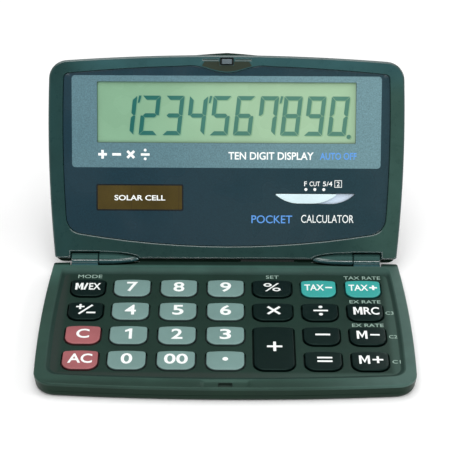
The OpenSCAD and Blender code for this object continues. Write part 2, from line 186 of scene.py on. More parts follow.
def inset(points, d):
    """The outline taken in by d all round, with mitred corners."""
    out = []
    for i, p in enumerate(points):
        a, b = Vector(p) - Vector(points[i - 1]), Vector(points[(i + 1) % len(points)]) - Vector(p)
        m, n = Vector((-a.y, a.x)).normalized(), Vector((-b.y, b.x)).normalized()
        out.append(tuple(Vector(p) + (m + n) * d / (1 + m.dot(n))))
    return out


def shrunk(points, d):
    """The outline scaled about the middle of a half, so that its long edges move in by d."""
    middle = DEPTH / 2
    return [(x * (1 - d / HALF_W), middle + (t - middle) * (1 - d / middle)) for x, t in points]


def rounded_box(low, high, r, n=4):
    (x0, t0), (x1, t1) = low, high
    return joined(arc((x1 - r, t0 + r), r, -90, 0, n), arc((x1 - r, t1 - r), r, 0, 90, n),
                  arc((x0 + r, t1 - r), r, 90, 180, n), arc((x0 + r, t0 + r), r, 180, 270, n))


def nose_radius(x, r=BARREL_R):
    """Radius of a tapered barrel at x, half an ellipse from its tip to its full width."""
    u = max(0.0, min(1.0, (x - BARREL_INNER) / NOSE))
    return r * math.sqrt(1 - (1 - u) ** 2)


def notch(near, room, reach):
    """The rear edge beside a barrel: it follows the nose, then runs straight past the barrel."""
    xs = [BARREL_INNER + NOSE * (1 - math.cos(math.pi / 2 * i / 12)) for i in range(13)]
    hug = [(x, max(near, room + (reach - room) * nose_radius(x, 1.0))) for x in xs]
    return [(BARREL_INNER - 0.4, near)] + hug + [(NOTCH_STEP, reach), (NOTCH_END, reach)]


def beyond_barrels(near):
    """The right half of a leaf's outline, from its side past the hinge to the far edge."""
    half = leaf_half(HALF_W, near, DEPTH, STRAIGHT, FRONT_BOW, 0.8, FRONT_CORNER)
    return [p for p in half if p[0] > BARREL_OUTER + 1 or p[1] > WIDEST_AT]


def base_outline():
    """The keyboard half, with a lip over the ribbon and notches round the barrels."""
    outer = beyond_barrels(RELIEF)
    rear = notch(BASE_NEAR, 1.3, BASE_NOTCH) + [(NOTCH_END, RELIEF)]
    lip = [(x, BASE_NEAR - drop) for x, drop in ((0, 0), (4, 0), (4.2, 0.24), (21.3, 0.24), (21.5, 0))]
    right, left = joined(lip, rear, outer), joined([(0, BASE_NEAR)], rear, outer)
    return right + [(-x, t) for x, t in reversed(left[1:-1])]


def lid_outline():
    """The front of the display half, notched round the barrels."""
    rear = notch(LID_NEAR, 0.12, BARREL_R + 0.14)[:-1]
    rear += [(NOTCH_STEP, LID_NOTCH), (NOTCH_END, LID_NOTCH), (NOTCH_END, LID_NEAR)]
    return mirrored(joined([(0, LID_NEAR)], rear, beyond_barrels(LID_NEAR)))


def dip(reach, grow, x):
    """The panel's far edge at x, where the frame dips round the catch."""
    return PANEL_FAR + grow - DIP_DEPTH * (1 + math.cos(math.pi * abs(x) / reach)) / 2


def panel_outline(grow):
    """The printed panel, with the frame's dip at the middle of its far edge."""
    half = leaf_half(PANEL_HALF_W + grow, PANEL_NEAR - grow, PANEL_FAR + grow,
                     PANEL_NEAR_BOW, PANEL_FAR_BOW, 5, 1.5)
    reach = DIP_HALF_W + grow
    dipped = [(x, dip(reach, grow, x)) for x in (reach * (1 - i / 14) for i in range(15))]
    return mirrored(joined([p for p in half if p[0] > reach + 0.5 or p[1] < WIDEST_AT], dipped))


def key_outline(w, l, grow):
    """A key from above: small corners at the rear, large ones at the front, a slight rear arch."""
    a, b, r, q = w / 2 + grow, l / 2 + grow, 1 + grow, 3 + grow
    arch = [(u * (a - r), -b - KEY_ARCH * (1 - u * u)) for u in (-0.6, -0.3, 0, 0.3, 0.6)]
    return joined(arc((a - q, b - q), q, 0, 90, 8), arc((q - a, b - q), q, 90, 180, 8),
                  arc((r - a, r - b), r, 180, 270, 5), arch, arc((a - r, r - b), r, 270, 360, 5))


def selector_outline(travel, grow):
    """The selector's thumb piece: straight far edge, blunt tips, near corners swept up in arcs."""
    tip, cut, r = 0.34, 0.16, 11 + grow
    left, right, top = SELECTOR_LEFT - grow, SELECTOR_RIGHT + travel + grow, SELECTOR_TOP + grow
    low = SELECTOR_TOP - SELECTOR_DROP - grow
    reach = math.sqrt(r * r - (r - (top - tip - low)) ** 2)
    turn = math.degrees(math.asin(reach / r))
    far = [(right, top - cut), (right - cut, top), (left + cut, top), (left, top - cut)]
    return joined(arc((right - reach, low + r), r, -90, -90 + turn, 10), far,
                  arc((left + reach, low + r), r, -90 - turn, -90, 10))


# === Mesh building ===

def encloses(outline, p):
    """Whether a point lies inside an outline."""
    odd = False
    for a, b in zip(outline, outline[1:] + outline[:1]):
        if (a[1] > p[1]) != (b[1] > p[1]) and p[0] < a[0] + (b[0] - a[0]) * (p[1] - a[1]) / (b[1] - a[1]):
            odd = not odd
    return odd


def linked(name, data):
    """A new object in the scene."""
    made = bpy.data.objects.new(name, data)
    bpy.context.scene.collection.objects.link(made)
    return made


def linked_mesh(name, bm, materials):
    """A finished mesh as an object in the scene."""
    mesh = bpy.data.meshes.new(name)
    bm.to_mesh(mesh)
    bm.free()
    for m in materials:
        mesh.materials.append(m)
    return linked(name, mesh)


class Shape:
    """A mesh under construction in a leaf frame, in millimetres."""

    def __init__(self, place):
        self.bm, self.place = bmesh.new(), place

    def ring(self, outline, n):
        """Points for an outline at height n, which may be a function of (x, t)."""
        return [self.bm.verts.new((x, t, n(x, t) if callable(n) else n)) for x, t in outline]

    def face(self, verts, slot):
        f = self.bm.faces.new(verts)
        f.material_index, f.smooth = slot, True

    def skin(self, rings, slot=0):
        """Quads between each ring of points and the next."""
        for a, b in zip(rings, rings[1:]):
            for i in range(len(a)):
                j = (i + 1) % len(a)
                self.face((a[i], a[j], b[j], b[i]), slot)

    def cap(self, *loops, slot=0):
        """A flat face over the first loop, with a hole for each of the others."""
        verts = [v for loop in loops for v in loop]
        flat = [v.co.xy for v in verts]
        edges, outlines, first = [], [], 0
        for loop in loops:
            edges += [(first + i, first + (i + 1) % len(loop)) for i in range(len(loop))]
            outlines.append(flat[first:first + len(loop)])
            first += len(loop)
        points, _, faces, sources, _, _ = delaunay_2d_cdt(flat, edges, [], 0, 1e-4)
        for f in faces:
            middle = sum((points[i] for i in f), Vector((0, 0))) / 3
            if sum(encloses(o, middle) for o in outlines) % 2:
                self.bm.faces.new([verts[sources[i][0]] for i in f]).material_index = slot

    def stack(self, outline, steps, slot=0, taken_in=inset):
        """Skins one outline through (inset, n) steps and returns its rings."""
        rings = [self.ring(taken_in(outline, d) if d else outline, n) for d, n in steps]
        self.skin(rings, slot)
        return rings

    def solid(self, outline, steps, slot=0):
        """A closed body through (inset, n) steps, capped at both ends."""
        rings = self.stack(outline, steps, slot)
        self.cap(rings[0], slot=slot)
        self.cap(rings[-1], slot=slot)

    def turned(self, profile, slot=0):
        """Revolves a closed profile of (x, radius) about the hinge axis."""
        turns = [2 * math.pi * i / TURNED_SIDES for i in range(TURNED_SIDES)]
        rings = [[self.bm.verts.new((x, r * math.cos(a), r * math.sin(a))) for x, r in profile]
                 for a in turns]
        self.skin(rings + [rings[0]], slot)

    def along_x(self, profile, x0, x1, slot=0):
        """A closed bar whose section in (t, n) is the profile."""
        ends = [[self.bm.verts.new((x, t, n)) for t, n in profile] for x in (x0, x1)]
        self.skin(ends, slot)
        for end in ends:
            self.face(end, slot)

    def plate(self, points, faces, low, high, slot=0):
        """A thin raised shape from flat points and faces; low and high may be functions."""
        tops, bottoms = self.ring(points, high), self.ring(points, low)
        edges = {}
        for f in faces:
            self.face([tops[i] for i in f], slot)
            self.face([bottoms[i] for i in reversed(f)], slot)
            for a, b in zip(f, f[1:] + f[:1]):
                edges[(a, b)] = True
        for a, b in edges:
            if (b, a) not in edges:
                self.face((tops[b], tops[a], bottoms[a], bottoms[b]), slot)

    def draped(self, points, faces, low, high, slot=0):
        """A plate cut into strips so that it follows a curved surface."""
        flat = bmesh.new()
        verts = [flat.verts.new((x, y, 0)) for x, y in points]
        for f in faces:
            flat.faces.new([verts[i] for i in f])
        for axis in range(2):
            low_end, high_end = (pick(v.co[axis] for v in flat.verts) for pick in (min, max))
            normal = Vector([float(k == axis) for k in range(3)])
            for i in range(1, math.ceil((high_end - low_end) / DRAPE_STEP)):
                bmesh.ops.bisect_plane(flat, geom=flat.verts[:] + flat.edges[:] + flat.faces[:], dist=1e-5,
                                       plane_co=(low_end + i * DRAPE_STEP) * normal, plane_no=normal)
        flat.verts.index_update()
        self.plate([tuple(v.co.xy) for v in flat.verts], [[v.index for v in f.verts] for f in flat.faces],
                   low, high, slot)
        flat.free()

    def piece(self, name, body, slot_name, materials, *replaced):
        """Ends the mesh as a piece that rides on a body."""
        self.bm.transform(self.place)
        bmesh.ops.recalc_face_normals(self.bm, faces=self.bm.faces)
        made = linked_mesh(name, self.bm, materials)
        made.data.set_sharp_from_angle(angle=math.radians(SHARP_ANGLE))
        weighted = made.modifiers.new("shading", "WEIGHTED_NORMAL")
        weighted.keep_sharp = True
        weighted.weight = 80
        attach(made, body)
        if replaced:
            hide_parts(*replaced)


def edge_round(radius, top, steps=4):
    """(inset, n) steps down from the side to a rounded top edge."""
    return [(radius * (1 - math.cos(a)), top - radius * (1 - math.sin(a)))
            for a in (math.pi / 2 * i / steps for i in range(steps + 1))]


# === Lettering and signs, as flat points and faces ===

def letters(text, width, height, bold):
    """A line of plain sans lettering, stretched to a box of that size about (0, 0)."""
    curve = bpy.data.curves.new("lettering", "FONT")
    curve.body, curve.offset, curve.resolution_u = text, bold, 4
    holder = linked("lettering", curve)
    bpy.context.view_layer.update()
    mesh = bpy.data.meshes.new_from_object(holder.evaluated_get(bpy.context.evaluated_depsgraph_get()))
    points = [(v.co.x, v.co.y) for v in mesh.vertices]
    faces = [list(p.vertices) for p in mesh.polygons]
    bpy.data.objects.remove(holder)
    bpy.data.curves.remove(curve)
    bpy.data.meshes.remove(mesh)
    low, high = ([pick(p[i] for p in points) for i in (0, 1)] for pick in (min, max))
    sizes = (width, height)
    return [tuple((p[i] - (low[i] + high[i]) / 2) * sizes[i] / (high[i] - low[i]) for i in (0, 1))
            for p in points], faces


def shapes(*outlines):
    """Several simple outlines as one set of points and faces."""
    points, faces = [], []
    for o in outlines:
        faces.append(list(range(len(points), len(points) + len(o))))
        points += o
    return points, faces


def placed_at(cx, cy, corners, turn):
    """Corners turned about (0, 0) by some degrees, then moved to (cx, cy)."""
    c, s = math.cos(math.radians(turn)), math.sin(math.radians(turn))
    return [(cx + x * c - y * s, cy + x * s + y * c) for x, y in corners]


def bar(cx, cy, w, h, turn=0):
    return placed_at(cx, cy, [(-w / 2, -h / 2), (w / 2, -h / 2), (w / 2, h / 2), (-w / 2, h / 2)], turn)


def cross(cx, cy, size, stroke, turn=0):
    a, b = size / 2, stroke / 2
    return placed_at(cx, cy, [(b, a), (-b, a), (-b, b), (-a, b), (-a, -b), (-b, -b), (-b, -a), (b, -a),
                              (b, -b), (a, -b), (a, b), (b, b)], turn)


def letter_m(left, low, w, h, stroke):
    """A capital M with a V that reaches the base line."""
    right, top, middle, lean = left + w, low + h, left + w / 2, stroke * 1.15
    neck = top - 1.6 * stroke
    return [(left, low), (left + stroke, low), (left + stroke, neck), (middle, low + 0.1 * h),
            (right - stroke, neck), (right - stroke, low), (right, low), (right, top),
            (right - lean, top), (middle, low + 0.42 * h), (left + lean, top), (left, top)]


def figure_one(w, h, stroke):
    """A figure 1 with a sloping flag."""
    x = w / 2
    return [(x - stroke, -h / 2), (x, -h / 2), (x, h / 2), (x - stroke * 0.8, h / 2), (-w / 2, h / 2 - 0.75),
            (-w / 2, h / 2 - 1.6), (x - stroke, h / 2 - 1.15)]


def dot(cx, cy, r, n=20):
    return arc((cx, cy), r, 0, 360 - 360 / n, n - 1)


# === Materials ===

def linear(rgb):
    """An 8-bit sRGB colour as linear RGBA."""
    return tuple((c / 255 / 12.92 if c <= 10 else ((c / 255 + 0.055) / 1.055) ** 2.4) for c in rgb) + (1.0,)


class Nodes:
    """A material's node tree, with short ways to add to it."""

    def __init__(self, name):
        self.material = bpy.data.materials.new(name)
        self.material.use_nodes = True
        self.tree = self.material.node_tree
        self.shader = self.tree.nodes["Principled BSDF"]
        self.place = self.add("ShaderNodeTexCoord", {}).outputs["Object"]

    def feed(self, node, inputs):
        """Sets a node's inputs, each from another node's output or from a value."""
        for key, value in inputs.items():
            if isinstance(value, bpy.types.NodeSocket):
                self.tree.links.new(value, node.inputs[key])
            else:
                node.inputs[key].default_value = value
        return node

    def add(self, kind, inputs, **settings):
        node = self.tree.nodes.new(kind)
        for key, value in settings.items():
            setattr(node, key, value)
        return self.feed(node, inputs)

    def noise(self, size_mm, detail=3.0, roughness=0.55):
        return self.add("ShaderNodeTexNoise", {"Vector": self.place, "Scale": 1 / (size_mm * MM),
                                               "Detail": detail, "Roughness": roughness}).outputs["Fac"]

    def spread(self, value, low, high, from_low=0.3, from_high=0.7):
        return self.add("ShaderNodeMapRange", {"Value": value, "From Min": from_low, "From Max": from_high,
                                               "To Min": low, "To Max": high}).outputs["Result"]

    def cloud(self, size_mm, detail=3.0):
        """A share from 0 to 1 that wanders over spots of this size."""
        return self.spread(self.noise(size_mm, detail), 0.0, 1.0)

    def axis(self, name):
        return self.add("ShaderNodeSeparateXYZ", {"Vector": self.place}).outputs[name]

    def lines(self, apart_mm, from_low, from_high):
        """0 on lines that stand this far apart along X, rising to 1 at either side of each."""
        off = self.add("ShaderNodeMath", {0: self.axis("X"), 1: apart_mm / 2 * MM}, operation="PINGPONG")
        return self.spread(off.outputs[0], 0.0, 1.0, from_low * MM, from_high * MM)

    def along(self, axis, start_mm, end_mm):
        """A share that rises smoothly from 0 to 1 between two places along an axis."""
        ends = {"Value": self.axis(axis), "From Min": start_mm * MM, "From Max": end_mm * MM}
        return self.add("ShaderNodeMapRange", ends, interpolation_type="SMOOTHSTEP").outputs["Result"]

    def most(self, *shares):
        total = shares[0]
        for share in shares[1:]:
            total = self.add("ShaderNodeMath", {0: total, 1: share}, operation="MAXIMUM").outputs[0]
        return total

    def mix(self, share, a, b):
        return self.add("ShaderNodeMix", {0: share, 6: a, 7: b}, data_type="RGBA").outputs[2]

    def mottled(self, share, rgb, low, high):
        """A colour between two shades of itself."""
        return self.mix(share, shade(rgb, low), shade(rgb, high))

    def set(self, **values):
        self.feed(self.shader, {key.replace("_", " "): value for key, value in values.items()})

    def bumped(self, height, depth_mm, strength=1.0):
        """The material, ended with a fine relief."""
        relief = {"Height": height, "Strength": strength, "Distance": depth_mm * MM}
        self.set(Normal=self.add("ShaderNodeBump", relief).outputs["Normal"])
        return self.material


def shade(rgb, k):
    return linear(tuple(min(255, max(0, c * k)) for c in rgb))


CLEAR_IOR, POLISH_IOR = 1.5, 1.9


def moulded(name, rgb, rough=0.42, coat=0.0, vary=0.06, spec=0.3, painted_shifts=(), tint=(1, 1, 1)):
    """Moulded plastic: fine eroded grain, faint mottling and handling marks in its gloss.

    Each painted shift is (axis, start, end, colour) and takes the plastic over to that colour between two
    places, in millimetres: painted light and shade, lighter or darker where light falls or is kept off.
    A coat given as two heights is a polish that sets in between them."""
    n = Nodes(name)
    cloud, marks, shades = n.cloud(9.0), n.noise(2.6, 5.0, 0.7), (1 - vary, 1 + vary)
    colour = n.mottled(cloud, rgb, *shades)
    for axis, start, end, other in painted_shifts:
        colour = n.mix(n.along(axis, start, end), colour, n.mottled(cloud, other, *shades))
    polished = isinstance(coat, tuple)
    n.set(Base_Color=colour, Roughness=n.spread(marks, rough - 0.07, rough + 0.07), Specular_IOR_Level=spec,
          Coat_Weight=n.along("Z", *coat) if polished else coat, Coat_Roughness=0.12,
          Coat_IOR=POLISH_IOR if polished else CLEAR_IOR, Specular_Tint=(*tint, 1))
    return n.bumped(n.noise(0.22, 2.0), 0.006)


def printed(name, rgb, right=None, rough=0.25):
    """Ink on the back of a clear glossy panel: a fine dither in the print under a clear coat.

    A second colour is painted light: the print drawn lighter at its right end, where the light falls."""
    n = Nodes(name)
    dither = n.cloud(0.35, 2.0)
    ends = [n.mottled(dither, end, 0.9, 1.1) for end in (rgb, right or rgb)]
    n.set(Base_Color=n.mix(n.along("X", -40, 40), *ends), Coat_Weight=0.1, Coat_Roughness=0.06,
          Roughness=n.spread(n.cloud(22.0, 2.0), rough - 0.04, rough + 0.04), Specular_IOR_Level=0.25)
    return n.bumped(n.noise(14.0, 1.0), 0.01, 0.3)


def ink(name, rgb):
    """Printed lettering, slightly uneven in density."""
    n = Nodes(name)
    n.set(Base_Color=n.mottled(n.cloud(0.5), rgb, 0.94, 1.0), Roughness=n.spread(n.noise(0.8), 0.45, 0.55))
    return n.material


def across(name, left, right, rough):
    """A display layer painted lighter from its left end to its right end, as painted light falling from the
    right.
    """
    n = Nodes(name)
    slow = n.cloud(16.0, 2.0)
    body = n.mix(n.along("X", -34, 20), n.mottled(slow, left, 1.0, 1.05), n.mottled(slow, right, 1.0, 1.04))
    n.set(Base_Color=body, Roughness=n.spread(slow, rough - 0.05, rough + 0.05), Specular_IOR_Level=0.2)
    return n.bumped(n.noise(0.4, 2.0), 0.003, 0.4)


DRAWN, PLATED = (30, 900, 900), (600, 600, 600)


def metal(name, rgb, rough=0.3, grain=DRAWN):
    """Metal with fine lines along X where it is drawn, or a fine grain where it is plated."""
    n = Nodes(name)
    lines = n.add("ShaderNodeMapping", {"Vector": n.place, "Scale": grain}).outputs["Vector"]
    streak = n.add("ShaderNodeTexNoise", {"Vector": lines, "Scale": 9.0, "Detail": 3.0}).outputs["Fac"]
    n.set(Base_Color=n.mottled(streak, rgb, 0.85, 1.08), Metallic=1.0,
          Roughness=n.spread(streak, rough - 0.08, rough + 0.1))
    return n.bumped(streak, 0.004, 0.4)


GREEN_SHEEN = (0.6, 1.0, 0.85)
# Painted light and shade on the case: lighter towards the rear and the right, where the light falls, darker
# at the front, and a dark band of painted shade just before the hinge, under the open lid.
CASE = moulded("case_plastic", (44, 67, 59), rough=0.36, spec=0.25, tint=GREEN_SHEEN,
               painted_shifts=(("Y", 12, 25, (56, 86, 78)), ("Y", -26, -29, (35, 53, 46)),
                       ("X", 20, 50, (62, 85, 79)), ("Y", 26.9, 28.0, (16, 34, 28))))
# Painted shade: case plastic drawn darker for the outer walls, the lower shell, the back shell and the ledges
# under the barrels, where they lie in shade.
CASE_SHADE = moulded("case_plastic_dark", (12, 31, 20), rough=0.4, spec=0.2, tint=GREEN_SHEEN)
# Painted light on the frame: lighter towards the right and towards its far edge, where the light falls, and
# kept dark at its far left.
FRAME = moulded("frame_plastic", (28, 52, 51), rough=0.3, spec=0.2, tint=GREEN_SHEEN,
                painted_shifts=(("X", 30, 50, (46, 71, 65)), ("Z", 48, 58, (42, 74, 77)),
                        ("X", -36, -50, (28, 54, 54))))
# Partly painted highlight: the frame's rounded edges and the grooves by the catch are drawn lighter than the
# frame, as well as glossier, for the bright lines along them.
FRAME_EDGE_HIGHLIGHT = moulded("frame_edge_plastic", (44, 68, 66), rough=0.14, coat=1.0)
# Painted light on the barrels: darker at the top and lighter below; the coat, set only between two heights,
# keeps the lamps' reflection to a streak there.
BARREL = moulded("barrel_plastic", (26, 50, 47), rough=0.3, spec=0.35, tint=(0.42, 0.85, 0.78),
                 coat=(5.95, 5.75), painted_shifts=(("Z", 5.7, 4.9, (50, 86, 90)),))
# The panel prints are painted lighter towards the right: painted light.
PANEL_DARK = printed("panel_print_dark", (18, 47, 58), (26, 52, 60))
PANEL_LINE = printed("panel_print_line", (8, 16, 20))
PANEL_BAND = printed("panel_print_band", (82, 115, 124), (98, 131, 138), rough=0.35)
# The display's layers are painted lighter to the right, as painted light; lcd_segment_shadow is a painted
# shadow.
LCD_FACE = across("lcd_face", (121, 159, 130), (149, 180, 148), rough=0.3)
LCD_INK = across("lcd_segments", (22, 92, 86), (74, 120, 104), rough=0.35)
LCD_SHADOW = across("lcd_segment_shadow", (104, 146, 120), (130, 164, 130), rough=0.35)
WHITE_INK = ink("white_ink", (246, 250, 248))
PALE_INK = ink("pale_green_ink", (150, 176, 164))
BLUE_INK = ink("light_blue_ink", (84, 150, 226))
WHITE = moulded("white_plastic", (208, 229, 234), rough=0.3, coat=0.3, vary=0.02)
PALE = moulded("pale_blue_plastic", (204, 220, 238), rough=0.3, coat=0.3, vary=0.02)
CATCH = moulded("latch_plastic", (84, 96, 102), rough=0.35, coat=0.2)
# Painted shade: a dark sheet laid over the frame's dip round the catch, where the frame turns away from the
# light.
DIP_SHADE = moulded("dip_plastic", (34, 44, 32), rough=0.45, spec=0.2)
POCKET = moulded("pocket_plastic", (34, 46, 44), rough=0.5)
# Heights between which the key skirts darken: painted shade.
KEY_SKIRT_SHADE_Z = (HINGE.z / MM + KEY_TOP - 0.16, FLOOR_Z + 0.05)


def key_plastic(name, rgb, **settings):
    """Key plastic with painted shade down the skirt, darker towards the key floor, where the opening keeps
    the light off.
    """
    return moulded(name, rgb, painted_shifts=(("Z", *KEY_SKIRT_SHADE_Z, tuple(c * 0.42 for c in rgb)),), **settings)


KEY_COLOURS = {
    "grey": key_plastic("key_grey_plastic", (111, 140, 136), rough=0.38, vary=0.03),
    "dark": key_plastic("key_dark_plastic", (4, 19, 18), rough=0.36, spec=0.18, tint=GREEN_SHEEN),
    "red": key_plastic("key_red_plastic", (154, 89, 92), rough=0.38, vary=0.04),
    "teal": key_plastic("key_teal_plastic", (54, 160, 154), rough=0.38, vary=0.03),
}


def key_floor_material():
    """The floor between the keys: painted shade in the narrow gaps, lighter out by the rim and painted
    lighter towards the right.
    """
    n = Nodes("key_floor_plastic")
    # Painted shade in the narrow gaps; the margin by the rim is painted lighter towards the right.
    gap = n.mottled(n.cloud(9.0), (23, 46, 38), 0.94, 1.06)
    margin = n.mix(n.along("X", -10, 50), linear((38, 50, 45)), linear((47, 71, 63)))
    inner, outer, front_inner, front_outer = 45.4, 47.4, -22.6, -24.2
    out = n.most(n.along("X", inner, outer), n.along("X", -inner, -outer),
                 n.along("Y", front_inner, front_outer))
    n.set(Base_Color=n.mix(out, gap, margin), Roughness=n.spread(n.noise(2.6, 5.0), 0.42, 0.56),
          Specular_IOR_Level=0.2)
    return n.bumped(n.noise(0.3, 2.0), 0.01)


FLOOR_PLASTIC = key_floor_material()
# Painted shade on the slope from the rim down to the key floor: darker than the case, lighter again at the
# rim's top edge and towards the rear.
SLOPE_SHADE = moulded("rim_slope_plastic", (28, 49, 43), rough=0.42, spec=0.2,
                painted_shifts=(("Z", TOP_Z - 0.14, TOP_Z, (46, 69, 62)), ("Y", 22.4, 25.6, (53, 80, 73))))
STEEL = metal("steel", (170, 172, 174))
# Painted shade: the hinge pins are drawn dark, as the slit between the barrels where they show lies in shade.
PIN_SHADE = metal("blackened_steel", (44, 50, 50), rough=0.45)
BATTERY = metal("battery_steel", (190, 191, 193), grain=PLATED)
BRASS = metal("spring_brass", (196, 168, 92))
BOARD = moulded("circuit_board", (40, 92, 66), rough=0.3, vary=0.2)
RUBBER = moulded("silicone_rubber", (140, 148, 143), rough=0.7)
CARBON = moulded("carbon_rubber", (26, 26, 28), rough=0.75)
RESIN = moulded("chip_resin", (20, 22, 24), rough=0.18, coat=0.4)
GLASS_INSIDE = moulded("lcd_glass", (168, 190, 166), rough=0.1, coat=0.8, vary=0.02)
FILM = moulded("lcd_film", (150, 176, 150), rough=0.4, vary=0.03)


def solar_material():
    """Amorphous solar glass: brown, with fine lines half the cell's width apart."""
    n = Nodes("solar_glass")
    low, high = leaf_box("solar_cell", LID)
    line = n.lines((high.x - low.x) / 2, 0.05, 0.12)
    body = n.mottled(n.cloud(6.0), (66, 54, 15), 0.94, 1.1)
    n.set(Base_Color=n.mix(line, linear((58, 44, 14)), body), Roughness=n.spread(n.noise(12.0), 0.16, 0.24),
          Coat_Weight=0.1, Coat_Roughness=0.05, Specular_IOR_Level=0.3)
    return n.material


SOLAR = solar_material()


def ribbon_material():
    """Black covering film with the tracks standing out along the ribbon."""
    n = Nodes("polyimide_ribbon")
    track = n.lines(0.9, 0.18, 0.24)
    n.set(Base_Color=n.mix(track, linear((14, 20, 18)), linear((22, 28, 25))),
          Roughness=n.spread(n.noise(3.0), 0.5, 0.6), Specular_IOR_Level=0.15)
    return n.bumped(track, 0.02, 0.5)


RIBBON = ribbon_material()


# === Hinges ===

def barrel(shape, side, start, end, nose, slot=0):
    """A hollow barrel on the hinge axis, with a rounded inner end and a web to its half."""
    chamfer = 0.22
    profile = [(end - chamfer, BARREL_R), (end, BARREL_R - chamfer), (end, PIN_HOLE_R)]
    if nose:
        xs = [start + NOSE * (1 - math.cos(math.pi / 2 * i / 14)) for i in range(15)]
        hole_end, web_start = start + 3.1, start + 6
        profile = [(start, 0.02)] + [(x, max(0.03, nose_radius(x))) for x in xs] + profile
        profile += [(hole_end, PIN_HOLE_R), (hole_end, 0.02)]
    else:
        web_start = start + 0.1
        profile = [(start, PIN_HOLE_R), (start, BARREL_R - chamfer), (start + chamfer, BARREL_R)] + profile
    shape.turned([(side * x, r) for x, r in profile], slot=slot)
    web = [(0.35, -0.8), (0.6, -0.6), (3, -0.6), (3, -1.85), (0.9, -1.85), (0.35, -1.6)]
    shape.along_x(web, *sorted((side * web_start, side * (end - 0.1))), slot=slot)


# === Keyboard half ===

KEY_NODES = sorted(n for n in frame["nodes"] if n.startswith("key_"))


def key_size(node):
    """Centre (x, t) and size (w, l) of a key's cap, from its CAD flange."""
    low, high = leaf_box(node, BASE)
    w, l = high.x - low.x - 2 * FLANGE, high.y - low.y - 2 * FLANGE - KEY_ARCH
    return ((low.x + high.x) / 2, high.y - FLANGE - l / 2), (w, l)


def at(outline, centre):
    return [(x + centre[0], t + centre[1]) for x, t in outline]


def key_floor_step(share):
    """Outline and height from the rim's inner edge (share 0) down to the key floor (share 1)."""
    rim = leaf_outline(50.1, 4.0, 57.2, STRAIGHT, FRONT_BOW, 2, 4)
    floor = leaf_outline(48.6, 7.4, 56.0, STRAIGHT, FRONT_BOW, 1.6, 3)
    outline = [tuple(Vector(p).lerp(q, share)) for p, q in zip(rim, floor)]
    return outline, RIM_TOP - (RIM_TOP - FLOOR) * (3 * share ** 2 - 2 * share ** 3)


def hollow(shape, rim, near, mouth, floor, *holes):
    """The inside of a shell, from the ring round its mouth to its floor, which may have holes."""
    sizes = (HALF_W - WALL, near + WALL, DEPTH - WALL, STRAIGHT, FRONT_BOW, 1, FRONT_CORNER - WALL)
    inner = shape.stack(leaf_outline(*sizes), [(0, mouth), (0, floor)])
    shape.cap(rim, inner[0])
    shape.cap(inner[1], *holes)


def cradles(shape):
    """Dark ledges of painted shade under the barrels, hollowed round the hinge axis. The CAD has none:
    they close the gap to the display half and stand in for the shade there."""
    near_r, far_r, steepest = 1.9, 2.15, 240
    section = arc((0, 0), near_r, 270, steepest, 5) + arc((0, 0), far_r, steepest, 278, 6)
    section += [(0.35, -2.9), (3.2, -2.9), (3.2, -1.9)]
    for side in (-1, 1):
        ends = sorted((side * (BARREL_INNER - 0.5), side * (BARREL_OUTER + 0.25)))
        shape.along_x(section, *ends, slot=3)


def upper_shell():
    s = Shape(BASE)
    outline = base_outline()
    wall = [(0.3, CASE_SPLIT + SPLIT_GAP), (0.02, RIM_TOP - 0.9)]
    outer = [s.ring(inset(outline, d), n) for d, n in wall + edge_round(0.45, RIM_TOP)]
    # The outer wall below the rim is painted shade.
    s.skin(outer[:2], slot=3)
    s.skin(outer[1:])
    # The slope down to the key floor is painted shade.
    rings = [s.ring(*key_floor_step(k / 6)) for k in range(7)]
    s.skin(rings, slot=4)
    # Scoop and slot for the catch
    scoop, deep = [], 0.42
    for k in (0, 0.25, 0.5, 0.75, 1):
        dished = rounded_box((1.3 * k - 7, 57.35 + 0.7 * k), (7 - 1.3 * k, 60.42 - 0.1 * k), 1.1 - 0.5 * k)
        scoop.append(s.ring(dished, RIM_TOP - deep * math.sin(math.pi / 2 * k)))
    s.skin(scoop)
    slot_box = rounded_box((-1.9, 58.2), (1.9, 60.2), 0.3, 3)
    slot = s.stack(slot_box, [(-0.08, RIM_TOP - deep), (0, RIM_TOP - 0.55), (0, -1.3)], slot=2)
    s.cap(scoop[-1], slot[0])
    s.cap(slot[-1], slot=2)
    s.cap(outer[-1], rings[0], scoop[0])
    # Floor with the key openings
    tops, bottoms = [], []
    for node in KEY_NODES:
        centre, (w, l) = key_size(node)
        steps = [(KEY_GAP + 0.22, FLOOR), (KEY_GAP + 0.06, FLOOR - 0.06), (KEY_GAP, FLOOR - 0.22),
                 (KEY_GAP, PLATE_UNDER)]
        hole = [s.ring(at(key_outline(w, l, g), centre), n) for g, n in steps]
        s.skin(hole, slot=2)
        tops.append(hole[0])
        bottoms.append(hole[-1])
    s.cap(rings[-1], *tops, slot=2)
    hollow(s, outer[0], BASE_NOTCH, CASE_SPLIT + SPLIT_GAP, PLATE_UNDER, *bottoms)
    for side in (-1, 1):
        barrel(s, side, BARREL_SPLIT, BARREL_OUTER, False, slot=1)
    cradles(s)
    s.piece("base_upper_shell", "base", "case_plastic", [CASE, BARREL, FLOOR_PLASTIC, CASE_SHADE, SLOPE_SHADE],
            "base_upper_case")


